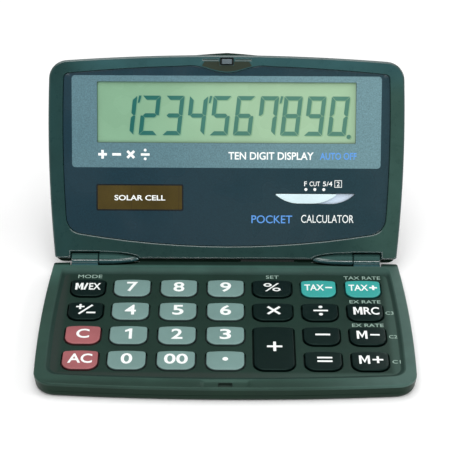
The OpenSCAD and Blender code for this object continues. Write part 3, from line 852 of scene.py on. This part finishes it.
def lower_shell():
    s = Shape(BASE)
    outer = s.stack(base_outline(), [(0.3, CASE_SPLIT - SPLIT_GAP), (0.34, -3.6), (0.46, -4.1), (0.64, -4.5),
                                     (0.86, -4.82), (1.1, BASE_UNDER)], taken_in=shrunk)
    holes = []
    for x, t in screw_places():
        hole = s.stack(dot(x, t, 1.62, 28), [(0, BASE_UNDER), (0.1, BASE_UNDER + 0.1), (0.1, SCREW_SEAT)])
        s.cap(hole[-1])
        holes.append(hole[0])
    s.cap(outer[-1], *holes)
    hollow(s, outer[0], BASE_NOTCH, CASE_SPLIT - SPLIT_GAP, BASE_UNDER + 0.8)
    # The lower shell is painted shade.
    s.piece("base_lower_shell", "base", "case_plastic_dark", [CASE_SHADE], "base_lower_case")


def screw_places():
    """The four case screws stand at the corners of two mirrored pairs."""
    verts = [BASE.inverted() @ v.co for v in frame["nodes"]["base_screws"].data.vertices]
    low, high = leaf_box("base_screws", BASE)
    out = []
    for side in (-1, 1):
        for near in (True, False):
            group = [v for v in verts if v.x * side > 0 and (v.y < (low.y + high.y) / 2) == near]
            out.append((sum(v.x for v in group) / len(group), sum(v.y for v in group) / len(group)))
    return out


def screws():
    """Pan-head case screws with a cross recess."""
    s = Shape(BASE)
    for x, t in screw_places():
        head = s.stack(dot(x, t, 1.4, 32), [(0, SCREW_SEAT), (0, BASE_UNDER + 0.25), (0.12, BASE_UNDER + 0.1),
                                            (0.35, BASE_UNDER + 0.05)])
        recess = [s.ring(cross(x, t, size, size * 0.3, 20), n)
                  for size, n in ((1.7, BASE_UNDER + 0.05), (1.2, BASE_UNDER + 0.4))]
        s.skin(recess)
        s.cap(recess[-1])
        s.cap(head[-1], recess[0])
        shank = s.stack(dot(x, t, 0.75, 20), [(0, SCREW_SEAT), (0, -2)])
        s.cap(head[0], shank[0])
        s.cap(shank[-1])
    s.piece("case_screws", "base", "steel", [STEEL], "base_screws")


def dome(w, l, x, t):
    """Height of a key's crowned top at (x, t) from its centre."""
    return KEY_TOP - 0.02 - 0.05 * ((2 * x / w) ** 2 + (2 * t / l) ** 2)


SIGNS = {
    "1": shapes(figure_one(2.0, 4.7, 0.85)),
    "multiply": shapes(cross(0.3, 0, 4.9, 0.78, 45)),
    "divide": shapes(bar(0.2, 0, 4.2, 0.66), dot(0.2, 1.75, 0.58), dot(0.2, -1.75, 0.58)),
    "subtract": shapes(bar(0.3, 0, 4.2, 0.74)),
    "equals": shapes(bar(0.4, 0.8, 4.2, 0.7), bar(0.4, -0.8, 4.2, 0.7)),
    "add": shapes(cross(0.2, 0.35, 4.3, 0.8)),
    "decimal_point": shapes(dot(0, 0, 0.8)),
    "sign_change": shapes(cross(-1.6, 1.35, 2.4, 0.62), bar(0, 0, 0.62, 5.7, -41), bar(1.6, -1.5, 2.6, 0.68)),
}
# Lettered keys: height, then each run of letters with its left end and width
WORDS = {
    "exchange_mode": (3.3, [("M", -3.75, 2.3), ("/", -1.05, 0.7), ("EX", 0.25, 3.4)]),
    "clear": (4.2, [("C", -1.85, 3.7)]), "all_clear": (4.2, [("AC", -3.4, 6.8)]),
    "percent": (4.0, [("%", -2.5, 5.0)]), "tax_minus": (3.0, [("TAX", -4.1, 5.7), ("−", 2.0, 2.0)]),
    "tax_plus": (3.0, [("TAX", -4.15, 5.7), ("+", 1.9, 2.3)]),
    "memory_recall": (3.6, [("M", -3.4, 2.6), ("RC", -0.45, 4.5)]),
    "memory_subtract": (3.7, [("M", -3.1, 3.0), ("−", 0.7, 2.7)]),
    "memory_add": (3.7, [("M", -3.1, 3.0), ("+", 0.6, 3.0)]),
    "00": (4.5, [("00", -3.3, 6.6)]),
}
LEGEND_REAR = 0.55          # how far a legend stands towards the rear of its key
LEGEND_REAR_TALL = 0.3
TALL_KEY = 15               # a key longer than this is the tall one
LEGEND_STROKE = 0.64
LEGEND_BOLD = 0.018
KEY_COLOUR_OF = {"clear": "red", "all_clear": "red", "tax_minus": "teal", "tax_plus": "teal",
                 "decimal_point": "grey", "00": "grey"}


def run_of_letters(text, left, width, height):
    """One run of a key's legend, centred on its height."""
    middle = left + width / 2
    if text == "M":
        return shapes(letter_m(left, -height / 2, width, height, LEGEND_STROKE))
    if text == "/":
        return shapes(bar(middle, 0, LEGEND_STROKE * 0.85, height * 1.03, -14))
    if text == "−":
        return shapes(bar(middle, 0, width, LEGEND_STROKE))
    if text == "+":
        return shapes(cross(middle, 0, width, LEGEND_STROKE))
    points, faces = letters(text, width, height, 0.0 if text == "%" else LEGEND_BOLD)
    return at(points, (middle, 0)), faces


def legend(name):
    """The runs of points and faces of a key's legend."""
    if name in SIGNS:
        return [SIGNS[name]]
    height, runs = WORDS.get(name, (4.7, [(name, -1.6, 3.2)]))
    return [run_of_letters(*run, height) for run in runs]


def key_cap(node):
    name = node[len("key_"):]
    centre, (w, l) = key_size(node)
    under = leaf_box(node, BASE)[0].z
    s = Shape(BASE)

    def ring(grow, n):
        return s.ring(at(key_outline(w, l, grow), centre), n)

    def crown(x, t):
        return dome(w, l, x - centre[0], t - centre[1]) + 0.012

    flange_top = PLATE_UNDER - 0.1
    rings = [ring(FLANGE, under), ring(FLANGE, flange_top), ring(0, flange_top), ring(-0.02, FLOOR - 0.3)]
    edge = key_outline(w, l, -0.04)
    shoulder = [(0.0, -0.24), (0.03, -0.14), (0.09, -0.07), (0.17, -0.025), (0.28, 0.0)]
    for d, drop in shoulder:
        outline = inset(edge, d)
        rings.append(s.ring(at(outline, centre), lambda x, t, drop=drop: crown(x, t) + drop))
    top = inset(edge, shoulder[-1][0])
    for share in (0.85, 0.6, 0.35, 0.15):
        rings.append(s.ring(at([(x * share, t * share) for x, t in top], centre), crown))
    s.skin(rings)
    s.cap(rings[-1])
    s.cap(rings[0])
    rear = LEGEND_REAR if l < TALL_KEY else LEGEND_REAR_TALL
    for points, faces in legend(name):
        placed = [(x + centre[0], centre[1] - y - rear) for x, y in points]
        s.draped(placed, faces, lambda x, t: crown(x, t) - 0.03, lambda x, t: crown(x, t) + 0.015, slot=1)
    colour = KEY_COLOUR_OF.get(name, "grey" if name.isdigit() else "dark")
    s.piece("cap_" + name, node, "key_" + colour + "_plastic", [KEY_COLOURS[colour], WHITE_INK], node)


# Small labels on the key floor: text, centre x and t, width, height
FLOOR_LABELS = [
    ("MODE", -40.1, 8.6, 7.1, 1.7), ("SET", 13.8, 8.5, 3.8, 1.6), ("TAX RATE", 40.3, 8.7, 10.8, 1.6),
    ("EX RATE", 40.5, 20.6, 9.0, 1.5), ("EX RATE", 40.6, 31.9, 9.0, 1.5),
    ("C3", 47.2, 26.0, 2.3, 1.5), ("C2", 47.4, 37.2, 2.3, 1.5), ("C1", 47.5, 48.6, 2.3, 1.5),
]


def floor_labels():
    s = Shape(BASE)
    for text, cx, ct, width, height in FLOOR_LABELS:
        points, faces = letters(text, width, height, 0.006)
        s.plate([(cx + x, ct - y) for x, y in points], faces, FLOOR - 0.02, FLOOR + 0.015)
    s.piece("key_floor_lettering", "base", "white_plastic", [PALE_INK])


# === Display half ===

LEDGE = leaf_outline(45.2, 6.5, 55.5, PANEL_NEAR_BOW, PANEL_FAR_BOW, 4, 1.5)


def front_frame():
    s = Shape(LID)
    outline = lid_outline()
    sides = s.stack(outline, [(0.06, FRAME_UNDER), (0, FRAME_UNDER + 0.35), (0, -0.6)])
    outer = [sides[-1]] + [s.ring(inset(outline, d), n) for d, n in edge_round(0.5, -0.1, 5)[1:]]
    # The rounded outer edge is drawn in the lighter edge plastic, a painted highlight.
    s.skin(outer, slot=3)
    around = panel_outline(0.6)
    recess = [s.ring(panel_outline(g), n) for g, n in
              ((0.42, -0.1), (0.27, -0.13), (0.16, -0.2), (0.1, -0.33), (0.1, PANEL_UNDER - 0.02))]
    s.skin(recess[:4], slot=3)
    # The recess keeps the painted highlight only along its near edge; elsewhere it goes back to the frame
    # plastic.
    for f in s.bm.faces:
        middle = f.calc_center_median()
        if f.material_index == 3 and middle.y > 9 and encloses(around, middle):
            f.material_index = 0
    s.skin(recess[3:])
    ledge = [s.ring(LEDGE, PANEL_UNDER - 0.02), s.ring(LEDGE, FRAME_UNDER)]
    s.skin(ledge)
    s.cap(recess[-1], ledge[0])
    s.cap(sides[0], ledge[1])
    pocket = s.stack(rounded_box((-1.95, 58.15), (1.95, 60.25), 0.25, 3),
                     [(-0.12, -0.1), (0, -0.2), (0, -1.6)], slot=1)
    s.cap(pocket[-1], slot=1)
    grooves = []
    for side in (-1, 1):
        low, high = sorted((side * 2.35, side * 7.4))
        # Grooves in the lighter edge plastic, a painted highlight.
        groove = s.stack(rounded_box((low, 59.3), (high, 59.95), 0.3, 4),
                         [(0, -0.1), (0.1, -0.14), (0.22, -0.26)], slot=3)
        s.cap(groove[-1], slot=3)
        grooves.append(groove[0])
        barrel(s, side, BARREL_INNER, BARREL_SPLIT - 0.15, True, slot=2)
    s.cap(outer[-1], recess[0], pocket[0], *grooves)
    # A thin dark sheet over the dip round the catch: painted shade.
    reach = DIP_HALF_W + 0.5
    curve = [(x, dip(reach, 0.5, x)) for x in (7.4 * (i / 12 - 1) for i in range(25))]
    far = [(6.6, 59.2), (2.12, 59.2), (2.12, 58.0)]
    far += [(-x, t) for x, t in reversed(far)]
    s.plate(*shapes(curve + far), -0.12, -0.08, slot=4)
    s.piece("lid_frame", "lid", "frame_plastic", [FRAME, POCKET, BARREL, FRAME_EDGE_HIGHLIGHT, DIP_SHADE], "lid_front_frame")


def back_shell():
    s = Shape(LID)
    mouth, swell, swell_half_w = FRAME_UNDER - 0.06, 0.66, 10

    def swollen(x, t):
        """The far edge swells behind the catch."""
        if abs(x) < swell_half_w and t > WIDEST_AT:
            t += swell / 2 * (1 + math.cos(math.pi * x / swell_half_w))
        return x, t

    outline = leaf_outline(HALF_W, SPINE_NEAR, DEPTH, STRAIGHT, FRONT_BOW, 2.6, FRONT_CORNER)
    steps = [(0.08, mouth), (0.05, -2.6), (0.12, -3.0), (0.32, -3.45), (0.65, -3.85), (1.1, -4.12),
             (1.7, -4.26), (2.4, LID_UNDER)]
    outer = s.stack([swollen(x, t) for x, t in outline], steps, taken_in=shrunk)
    s.cap(outer[-1])
    hollow(s, outer[0], LID_NEAR, mouth, LID_UNDER + 0.6)
    # The back shell is painted shade.
    s.piece("lid_back_shell", "lid", "case_plastic_dark", [CASE_SHADE], "lid_back_case")


LCD_LOW, LCD_HIGH = (-38.5, 34.9), (38.5, 53.1)
LCD_FACE_N = leaf_box("lcd_front_polariser", LID)[1].z
BAND_LOW, BAND_HIGH = (-46.0, 27.5), (46.0, 54.9)
SOLAR_LOW, SOLAR_HIGH = (-38.4, 14.9), (-13.2, 22.1)
SOLAR_LINE = 0.42           # width of the dark line round the solar cell
SELECTOR_LEFT, SELECTOR_RIGHT, SELECTOR_TOP, SELECTOR_DROP = 14.75, 33.0, 19.82, 3.02
SELECTOR_TRAVEL = 5.34


def window():
    """The clear panel, printed from behind, with openings over the display and the selector."""
    s = Shape(LID)
    edge = [s.ring(panel_outline(g), n) for g, n in
            ((0, PANEL_UNDER), (0, PANEL_TOP - 0.1), (-0.03, PANEL_TOP - 0.03), (-0.1, PANEL_TOP))]
    s.skin(edge)
    band = s.ring(rounded_box(BAND_LOW, BAND_HIGH, 1.0), PANEL_TOP)
    lcd = s.stack(rounded_box(LCD_LOW, LCD_HIGH, 0.35),
                  [(0, PANEL_TOP), (0.05, PANEL_TOP - 0.04), (0.05, PANEL_UNDER)], slot=3)
    solar, border = (s.ring(rounded_box(low, high, r), PANEL_TOP) for low, high, r in (
        (SOLAR_LOW, SOLAR_HIGH, 0.3),
        ([v - SOLAR_LINE for v in SOLAR_LOW], [v + SOLAR_LINE for v in SOLAR_HIGH], 0.5)))
    slot = s.stack(selector_outline(SELECTOR_TRAVEL, 0.1),
                   [(0, PANEL_TOP), (0.04, PANEL_TOP - 0.05), (0.04, PANEL_UNDER)], slot=3)
    s.cap(edge[-1], band, border, slot[0])
    s.cap(band, lcd[0], slot=1)
    s.cap(border, solar, slot=4)
    s.cap(solar, slot=2)
    s.cap(edge[0], lcd[-1], slot[-1], slot=3)
    s.piece("printed_window", "lid", "printed_window", [PANEL_DARK, PANEL_BAND, SOLAR, POCKET, PANEL_LINE],
            "display_window")


def lcd():
    s = Shape(LID)
    low, high = leaf_box("lcd_front_polariser", LID)
    s.solid(rounded_box((low.x, low.y), (high.x, high.y), 0.3), [(0, low.z), (0, LCD_FACE_N)])
    s.piece("lcd_face_plate", "lid", "lcd_film", [LCD_FACE], "lcd_front_polariser")


# Seven-segment digits
DIGIT_W, DIGIT_H, DIGIT_STROKE, DIGIT_GAP = 5.45, 11.75, 1.25, 0.05
DIGIT_PITCH, DIGIT_RIGHT, DIGIT_BASE = 7.03, 35.45, 37.15
SLANT = 0.11
SEGMENTS = {"0": "abcdef", "1": "bc", "2": "abged", "3": "abgcd", "4": "fgbc", "5": "afgcd", "6": "afgedc",
            "7": "abcf", "8": "abcdefg", "9": "abcdfg"}


def softened(outline, r):
    """The outline with every corner cut back by r and rounded."""
    out = []
    for i, p in enumerate(outline):
        here = Vector(p)
        before, after = (Vector(outline[k]) - here for k in (i - 1, (i + 1) % len(outline)))
        a, b = (here + v.normalized() * min(r, v.length / 2.2) for v in (before, after))
        out += [tuple(a), tuple((a + b + 2 * here) / 4), tuple(b)]
    return out


def segment_outlines():
    w, h, k, g = DIGIT_W, DIGIT_H, DIGIT_STROKE, DIGIT_GAP
    half = h / 2
    right = [(w, half + g), (w, h - 2 * g), (w - k, h - k - g), (w - k, half + k / 2 + g),
             (w - k / 2, half + g)]
    top = [(2 * g, h), (w - 2 * g, h), (w - k - g, h - k), (k + g, h - k)]
    middle = [(g + k / 2, half), (k + g, half + k / 2), (w - k - g, half + k / 2), (w - g - k / 2, half),
              (w - k - g, half - k / 2), (k + g, half - k / 2)]

    def flip_x(o):
        return [(w - x, y) for x, y in reversed(o)]

    def flip_y(o):
        return [(x, h - y) for x, y in reversed(o)]

    return {"a": top, "b": right, "c": flip_y(right), "d": flip_y(top), "e": flip_x(flip_y(right)),
            "f": flip_x(right), "g": middle}


def lcd_figures():
    """1'234'567'890. in slanted seven-segment figures, the painted shadow they throw, and a painted shadow
    along the window's top and left edges.
    """
    outlines = segment_outlines()
    made = []
    for place, figure in enumerate("0987654321"):
        left = DIGIT_RIGHT - DIGIT_W - place * DIGIT_PITCH
        made += [[(left + x, y) for x, y in softened(outlines[k], 0.16)] for k in SEGMENTS[figure]]
        if place in (3, 6, 9):
            tick = [(0.35, -2.3), (0.9, -2.0), (1.25, 0), (0.45, 0)]
            made.append([(left + DIGIT_W + x, DIGIT_H + y) for x, y in tick])
    made.append([(DIGIT_RIGHT + x, y) for x, y in dot(1.0, -0.25, 0.66, 16)])
    slanted = [[(x + SLANT * y, y + DIGIT_BASE) for x, y in o] for o in made]
    # Painted shadow of the window's top and left edges on the display face.
    edges = [bar(0, LCD_HIGH[1] - 0.2, 2 * LCD_HIGH[0], 0.5), bar(LCD_LOW[0] + 0.12, 44, 0.34, 17.7)]
    for name, dx, dt, window_shadow_strips, low, high, material in (
            ("lcd_figures", 0, 0, [], 0.012, 0.03, LCD_INK),
            ("lcd_figure_shadows", 0.3, -0.28, edges, -0.01, 0.006, LCD_SHADOW)):
        s = Shape(LID)
        moved = [[(x + dx, t + dt) for x, t in o] for o in slanted] + window_shadow_strips
        s.plate(*shapes(*moved), LCD_FACE_N + low, LCD_FACE_N + high)
        s.piece(name, "lid", "lcd_film", [material])


def selector():
    """White thumb piece on the pale shutter that keeps its slot closed."""
    s = Shape(LID)
    low, high = leaf_box("decimal_selector_knob", LID)
    s.solid(rounded_box((low.x, low.y), (high.x, high.y), 0.6),
            [(0, low.z), (0, PANEL_UNDER - 0.1), (0.05, PANEL_UNDER - 0.05)], slot=1)
    s.solid(selector_outline(0, -0.05),
            [(0, PANEL_UNDER - 0.2), (0, PANEL_TOP - 0.1), (0.04, PANEL_TOP + 0.02), (0.1, PANEL_TOP + 0.08),
             (0.2, PANEL_TOP + 0.1)])
    s.piece("selector_thumb_piece", "decimal_selector", "white_plastic", [WHITE, PALE],
            "decimal_selector_knob")


def catch():
    s = Shape(LID)
    low, high = leaf_box("latch_hook", LID)
    s.solid(rounded_box((low.x, low.y + 0.2), (high.x, high.y), 0.2, 3),
            [(0, -1.6), (0, high.z - 0.2), (0.05, high.z - 0.06), (0.15, high.z)])
    s.piece("latch_catch", "lid", "latch_plastic", [CATCH], "latch_hook")


# Lettering on the panel: text, left x, low t, width, height, boldness
WHITE_WORDS = [
    ("TEN DIGIT DISPLAY", 0.6, 30.0, 25.4, 2.3, 0.018), ("CALCULATOR", 22.5, 11.1, 15.7, 2.4, 0.0),
    ("F", 23.3, 22.15, 0.8, 1.4, 0.008), ("CUT", 24.9, 22.15, 3.1, 1.4, 0.008),
    ("5/4", 28.9, 22.15, 2.8, 1.4, 0.008), ("2", 33.0, 22.15, 0.9, 1.4, 0.008),
    ("SOLAR CELL", -33.4, 17.6, 15.2, 1.6, 0.02),
]
BLUE_WORDS = [("POCKET", 7.6, 10.9, 12.2, 2.4, 0.008), ("AUTO OFF", 27.9, 30.1, 10.9, 2.1, 0.018)]
# The selector's three stops, the four arithmetic signs and the box round the 2
WHITE_SIGNS = [
    dot(23.82, 21.15, 0.45), dot(26.5, 21.15, 0.45), dot(29.16, 21.15, 0.45),
    cross(-36.9, 31.4, 2.6, 0.75), bar(-32.7, 31.4, 2.6, 0.75), cross(-28.5, 31.4, 2.9, 0.75, 45),
    bar(-24.2, 31.4, 2.6, 0.7), dot(-24.2, 32.7, 0.42), dot(-24.2, 30.1, 0.42),
    bar(33.45, 23.87, 2.2, 0.16), bar(33.45, 21.83, 2.2, 0.16),
    bar(32.43, 22.85, 0.16, 1.88), bar(34.47, 22.85, 0.16, 1.88),
]


def panel_prints():
    heights = (PANEL_TOP - 0.01, PANEL_TOP + 0.012)
    for name, material, words, signs in (("white", WHITE_INK, WHITE_WORDS, WHITE_SIGNS),
                                         ("blue", BLUE_INK, BLUE_WORDS, [])):
        s = Shape(LID)
        for text, left, low, width, height, bold in words:
            points, faces = letters(text, width, height, bold)
            s.plate(at(points, (left + width / 2, low + height / 2)), faces, *heights)
        s.plate(*shapes(*signs), *heights)
        s.piece("panel_lettering_" + name, "lid", "white_plastic", [material])


def ribbon():
    """The flexible film, bent round the hinge between the two boards."""
    low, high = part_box("ribbon_cable")
    turn = math.pi - OPEN_ANGLE

    def in_lid(t, n):
        return (t * math.cos(turn) - n * math.sin(turn), t * math.sin(turn) + n * math.cos(turn))

    route = [(-7, -3.42), (-5.6, -3.42), (-3.2, -1.95), (-2.2, -1.5), (-0.63, -1.15), (0.35, -0.75),
             in_lid(0.57, -1), in_lid(1.8, -1.25), in_lid(2.9, -1.8), in_lid(4.9, -2.8), in_lid(6.2, -2.92),
             in_lid(8.6, -2.92)]
    curve = []
    for i in range(len(route) - 1):
        p = [Vector(route[max(0, min(len(route) - 1, i + k))]) for k in (-1, 0, 1, 2)]
        for step in range(6):
            u = step / 6
            curve.append(0.5 * (2 * p[1] + (p[2] - p[0]) * u + (2 * p[0] - 5 * p[1] + 4 * p[2] - p[3]) * u * u
                                + (3 * p[1] - p[0] - 3 * p[2] + p[3]) * u ** 3))
    curve.append(Vector(route[-1]))
    half_thickness = 0.06
    bm = bmesh.new()
    rows = []
    for i, c in enumerate(curve):
        d = curve[min(i + 1, len(curve) - 1)] - curve[max(i - 1, 0)]
        normal = Vector((-d.y, d.x)).normalized() * half_thickness
        corners = ((low.x, c + normal), (high.x, c + normal), (high.x, c - normal), (low.x, c - normal))
        rows.append([bm.verts.new((x, HINGE.y + p.x * MM, HINGE.z + p.y * MM)) for x, p in corners])
    for a, b in zip(rows, rows[1:]):
        for i in range(4):
            bm.faces.new((a[i], a[(i + 1) % 4], b[(i + 1) % 4], b[i]))
    bm.faces.new(rows[0])
    bm.faces.new(rows[-1])
    bmesh.ops.recalc_face_normals(bm, faces=bm.faces)
    made = linked_mesh("flex_ribbon", bm, [RIBBON])
    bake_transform(made)
    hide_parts("ribbon_cable")


# === CAD nodes that keep their shape ===

KEPT = {
    "rubber_key_mat": RUBBER, "keyboard_contact_pads": CARBON, "keyboard_circuit_board": BOARD,
    "hinge_pin_left": PIN_SHADE, "hinge_pin_right": PIN_SHADE, "lcd_front_glass": GLASS_INSIDE,
    "lcd_rear_glass": GLASS_INSIDE, "lcd_reflector": FILM, "zebra_connector": CARBON,
    "display_circuit_board": BOARD, "calculator_chip": RESIN, "solar_cell": SOLAR,
    "solar_contact_pads": CARBON, "battery_cell": BATTERY,
    "battery_contact_positive": BRASS, "battery_contact_negative": BRASS, "lid_screws": STEEL,
    "selector_wiper": BRASS,
}


def kept_nodes():
    for node, material in KEPT.items():
        slots = frame["nodes"][node].material_slots
        if not slots:
            frame["nodes"][node].data.materials.append(material)
        for slot in slots:
            slot.material = material


# === Stage ===

def stage():
    bm = bmesh.new()
    size, floor_z, aim = 3.0, -0.00002, Vector((0, 0.03, 0.02))
    bm.faces.new([bm.verts.new((x, y, floor_z)) for x, y in bar(0, 0, 2 * size, 2 * size)])
    n = Nodes("pale_floor")
    n.set(Base_Color=n.mix(n.cloud(60.0), (0.91, 0.91, 0.91, 1), (0.93, 0.93, 0.93, 1)),
          Roughness=0.9, Specular_IOR_Level=0.1)
    linked_mesh("floor", bm, [n.material])
    world = bpy.data.worlds.new("studio")
    world.use_nodes = True
    sky = world.node_tree.nodes["Background"].inputs
    sky["Color"].default_value, sky["Strength"].default_value = (1, 1, 1, 1), 0.36
    bpy.context.scene.world = world
    # Place, size across and along, power
    lamps = (((-0.1, -0.06, 1.0), (1.0, 1.0), 7.0), ((0.85, -0.1, 0.5), (0.4, 0.4), 2.6),
             ((0.0, -0.6, 0.67), (0.7, 0.22), 2.2), ((0.0, -0.9, 0.065), (0.8, 0.07), 1.8),
             ((0.4, 0.8, 0.5), (0.5, 0.5), 1.5))
    for i, (place, (across, along), power) in enumerate(lamps):
        light = bpy.data.lights.new(f"soft_light_{i}", "AREA")
        light.shape, light.size, light.size_y, light.energy = "RECTANGLE", across, along, power
        lamp = linked(light.name, light)
        lamp.location = place
        lamp.rotation_euler = (aim - Vector(place)).to_track_quat("-Z", "Y").to_euler()


def camera():
    """Looks down at the hinge from the front."""
    elevation, roll, distance, rise = math.radians(33.8), math.radians(0.3), 0.525, 0.010
    view = Vector((0, math.cos(elevation), -math.sin(elevation)))
    up = Vector((0, math.sin(elevation), math.cos(elevation)))
    data = bpy.data.cameras.new("camera")
    data.lens, data.sensor_width = 139.3, 36
    data.clip_start = 0.05
    made = linked("camera", data)
    made.location = HINGE - view * distance + up * rise
    made.rotation_euler = (view.to_track_quat("-Z", "Y") @ Quaternion((0, 0, 1), roll)).to_euler()
    bpy.context.scene.camera = made
    bpy.context.scene.view_settings.view_transform = "Standard"


camera()
stage()
upper_shell()
lower_shell()
screws()
for key_node in KEY_NODES:
    key_cap(key_node)
floor_labels()
front_frame()
back_shell()
window()
lcd()
lcd_figures()
selector()
catch()
panel_prints()
ribbon()
kept_nodes()
